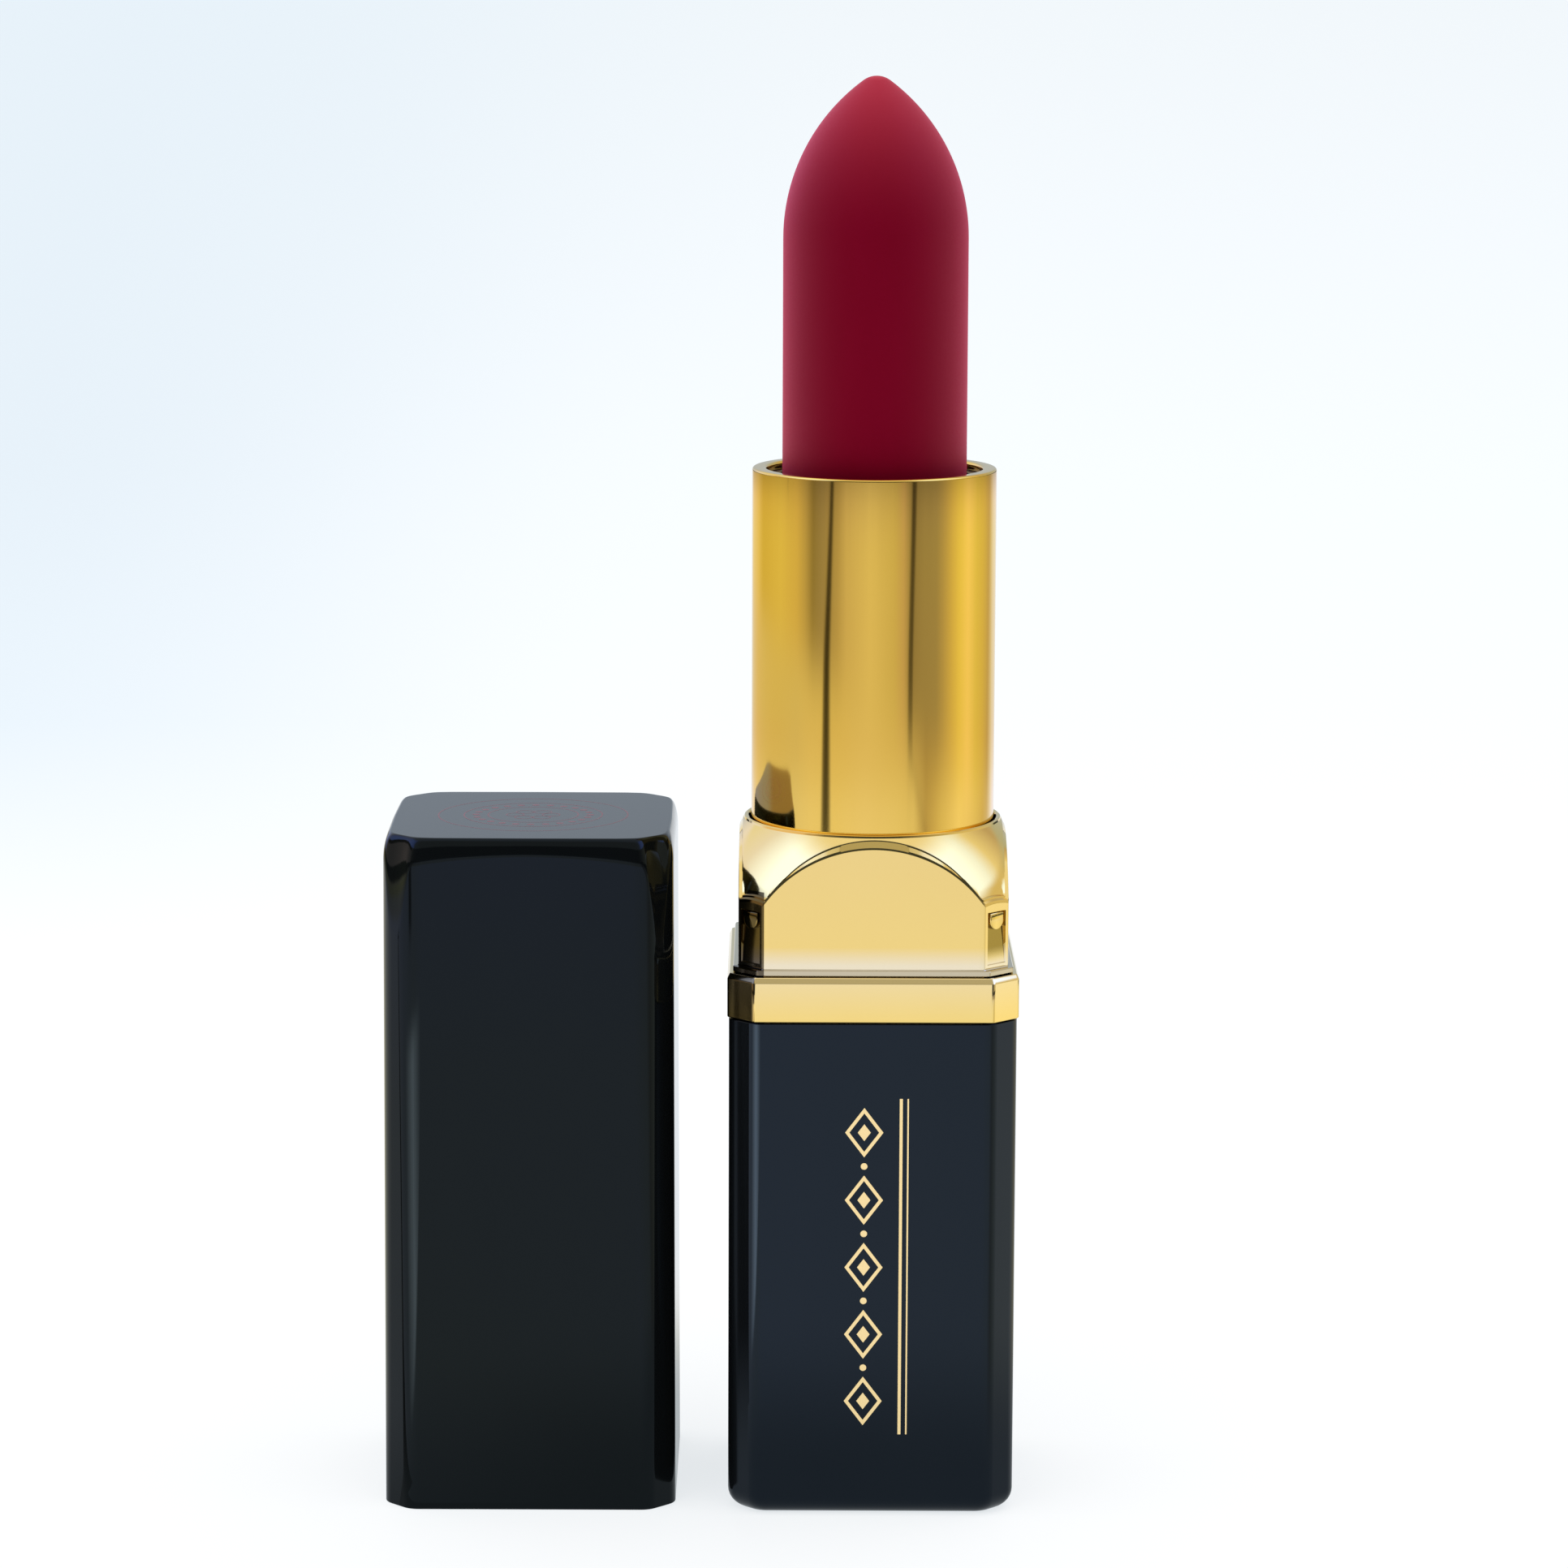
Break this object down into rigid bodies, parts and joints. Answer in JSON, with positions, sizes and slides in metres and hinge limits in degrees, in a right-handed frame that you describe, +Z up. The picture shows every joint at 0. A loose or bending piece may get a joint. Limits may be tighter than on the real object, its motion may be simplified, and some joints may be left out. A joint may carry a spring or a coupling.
{
  "type": "lipstick case",
  "caption": "Square twist-up lipstick case with chamfered corners, a gold collar and tube, a raised wax bullet and a separate square cap standing beside it.",
  "frame": {"origin": "centre of the case's underside, on the twist axis", "axes": "+Z up along the twist axis, front faces -Y, the cap stands on the -X side"},
  "size_m": [0.0417, 0.0205, 0.094],
  "materials": {
    "black_lacquer": "high-gloss black lacquer",
    "black_plastic": "moulded, satin",
    "zinc": "cast zinc slug, dull",
    "label_paper": "blank coated paper",
    "band_gold": "gold anodised, polished",
    "collar_gold": "gold anodised, polished",
    "guide_plastic": "moulded, satin",
    "friction_rubber": "soft, matt",
    "tube_gold": "gold anodised, mirror polish",
    "spiral_plastic": "moulded, natural",
    "cup_plastic": "moulded, natural",
    "crimson_wax": "soft satin wax",
    "cap_lacquer": "high-gloss black lacquer",
    "liner_plastic": "moulded, satin"
  },
  "bodies": {
    "base": {"base_shell": "black_lacquer", "base_core": "black_plastic", "base_weight": "zinc", "shade_label": "label_paper", "trim_band": "band_gold", "collar": "collar_gold", "guide_tube": "guide_plastic", "friction_ring": "friction_rubber"},
    "tube": {"tube_shell": "tube_gold", "spiral_sleeve": "spiral_plastic"},
    "carrier": {"bullet_cup": "cup_plastic", "bullet": "crimson_wax"},
    "cap": {"cap_shell": "cap_lacquer", "cap_liner": "liner_plastic"}
  },
  "joints": [
    {"name": "twist", "type": "hinge", "parent": "base", "child": "tube", "pos_m": [0, 0, 0.035], "axis": [0, 0, 1], "range_deg": [0, 720]},
    {"name": "bullet_rise", "type": "slide", "parent": "base", "child": "carrier", "axis": [0, 0, 1], "range_m": [-0.026, 0]},
    {"name": "cap_lift", "type": "slide", "parent": "base", "child": "cap", "axis": [0, 0, 1], "range_m": [0, 0.1]}
  ],
  "couplings": [
    {"joint": "twist", "follows": "bullet_rise", "rad_per_m": -483.32}
  ]
}
